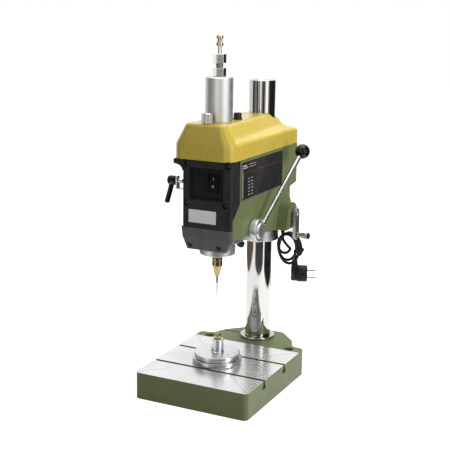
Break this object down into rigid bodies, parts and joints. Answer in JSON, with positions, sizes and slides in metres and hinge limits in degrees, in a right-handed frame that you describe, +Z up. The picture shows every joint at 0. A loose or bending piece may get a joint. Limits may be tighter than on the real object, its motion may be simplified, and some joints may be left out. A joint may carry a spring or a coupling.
{
  "type": "mini bench drill press",
  "caption": "Small bench drill press with a cast base and T-slot table, round column, crank-raised belt-driven head, ball feed lever and water-fed hollow drill with a round work fixture.",
  "frame": {"origin": "on the bench top, under the spindle axis, on the underside of the base", "axes": "+X to the operator's right, +Y to the back, +Z up"},
  "size_m": [0.2, 0.3038, 0.579],
  "materials": {
    "green_casting": "satin paint",
    "yellow_cover": "gloss paint",
    "column_chrome": "polished",
    "machined_steel": "turned and ground",
    "bare_aluminium": "satin",
    "brass": "polished",
    "black_plastic": "fine texture",
    "black_gloss": "polished",
    "black_plate": "printed plate",
    "grey_plastic": "fine texture",
    "white_label": "plain sheet",
    "motor_black": "satin",
    "black_rubber": "matt"
  },
  "bodies": {
    "base": {"base_casting": "green_casting", "column_tube": "column_chrome", "column_rack": "machined_steel", "column_flange": "column_chrome", "column_cap": "black_plastic", "column_clamp_screw": "machined_steel", "fixture_base": "bare_aluminium", "fixture_lid": "bare_aluminium", "fixture_post": "bare_aluminium", "fixture_brass_tip": "brass"},
    "head": {"head_housing": "green_casting", "head_frame": "bare_aluminium", "motor_plate": "machined_steel", "front_panel": "black_plastic", "chin_cover": "grey_plastic", "switch_frame": "grey_plastic", "label_plate": "white_label", "speed_plate": "black_plate", "motor_body": "motor_black", "drive_belt": "black_rubber", "stud_bracket": "machined_steel", "cord_gland": "black_plastic", "cord_loops": "black_rubber", "cord_tie": "black_plastic", "plug_body": "black_rubber", "plug_pin_a": "column_chrome", "plug_pin_b": "column_chrome"},
    "rotor": {"motor_shaft": "machined_steel", "motor_pulley": "bare_aluminium"},
    "pulley": {"spindle_pulley": "bare_aluminium"},
    "quill_body": {"quill": "machined_steel", "lower_bearing": "machined_steel", "upper_bearing": "machined_steel"},
    "spindle_body": {"spindle": "machined_steel", "nozzle_nut": "brass", "drill_tube": "machined_steel", "drill_needle": "machined_steel"},
    "feed": {"feed_shaft": "machined_steel", "feed_hub": "bare_aluminium", "lever_rod": "column_chrome", "ball_knob": "black_gloss"},
    "crank": {"crank_shaft": "machined_steel", "crank_arm": "machined_steel"},
    "grip": {"crank_grip": "column_chrome", "grip_end_ring": "black_plastic"},
    "hoist": {"hoist_pinion": "machined_steel"},
    "clamp": {"clamp_stud": "machined_steel", "clamp_lever": "black_gloss"},
    "switch": {"rocker": "black_plastic"},
    "lock": {"lock_screw": "black_plastic"},
    "cover": {"belt_cover": "yellow_cover", "cover_cap": "black_plastic", "feed_cylinder": "bare_aluminium", "cylinder_hex": "bare_aluminium", "thread_neck": "machined_steel"},
    "nut": {"cover_nut": "column_chrome"},
    "swivel": {"swivel_hex": "bare_aluminium", "hose_fitting": "brass"}
  },
  "joints": [
    {"name": "head_slide", "type": "slide", "parent": "base", "child": "head", "axis": [0, 0, 1], "range_m": [-0.034, 0.1]},
    {"name": "crank_turn", "type": "hinge", "parent": "head", "child": "crank", "pos_m": [0.0289, 0.148, 0.28], "axis": [1, 0, 0], "range_deg": [-260, 720]},
    {"name": "hoist_turn", "type": "hinge", "parent": "head", "child": "hoist", "pos_m": [0.0289, 0.148, 0.28], "axis": [0, 1, 0], "range_deg": [-720, 260]},
    {"name": "grip_spin", "type": "hinge", "parent": "crank", "child": "grip", "pos_m": [0.0773, 0.148, 0.2425], "axis": [1, 0, 0], "continuous": true},
    {"name": "quill_slide", "type": "slide", "parent": "head", "child": "quill_body", "axis": [0, 0, -1], "range_m": [0, 0.06], "stiffness_N_per_m": 300, "springref_m": -0.03},
    {"name": "feed_turn", "type": "hinge", "parent": "head", "child": "feed", "pos_m": [0, 0.0285, 0.272], "axis": [1, 0, 0], "range_deg": [0, 250]},
    {"name": "spindle_spin", "type": "hinge", "parent": "quill_body", "child": "spindle_body", "pos_m": [0, 0, 0.23], "axis": [0, 0, 1], "continuous": true},
    {"name": "pulley_spin", "type": "hinge", "parent": "head", "child": "pulley", "pos_m": [0, 0, 0.4], "axis": [0, 0, 1], "continuous": true},
    {"name": "rotor_spin", "type": "hinge", "parent": "head", "child": "rotor", "pos_m": [0, 0.086, 0.4], "axis": [0, 0, 1], "continuous": true},
    {"name": "clamp_turn", "type": "hinge", "parent": "head", "child": "clamp", "pos_m": [-0.0615, -0.0265, 0.351], "axis": [1, 0, 0], "range_deg": [-60, 60]},
    {"name": "switch_rock", "type": "hinge", "parent": "head", "child": "switch", "pos_m": [0.0163, -0.048, 0.3575], "axis": [1, 0, 0], "range_deg": [0, 16]},
    {"name": "lock_turn", "type": "hinge", "parent": "head", "child": "lock", "pos_m": [0.041, 0.008, 0.2615], "axis": [0, -0.7071, -0.7071], "range_deg": [-180, 180]},
    {"name": "cover_lift", "type": "slide", "parent": "head", "child": "cover", "axis": [0, 0, 1], "range_m": [0, 0.12]},
    {"name": "nut_turn", "type": "hinge", "parent": "cover", "child": "nut", "pos_m": [-0.003, -0.0335, 0.446], "axis": [0, 0, 1], "continuous": true},
    {"name": "swivel_turn", "type": "hinge", "parent": "cover", "child": "swivel", "pos_m": [0, 0, 0.536], "axis": [0, 0, 1], "continuous": true}
  ],
  "couplings": [
    {"joint": "crank_turn", "follows": "head_slide", "rad_per_m": 125},
    {"joint": "hoist_turn", "follows": "head_slide", "rad_per_m": -125},
    {"joint": "feed_turn", "follows": "quill_slide", "rad_per_m": 71.429},
    {"joint": "rotor_spin", "follows": "pulley_spin", "ratio": 1.9524},
    {"joint": "spindle_spin", "follows": "pulley_spin", "ratio": 1}
  ]
}
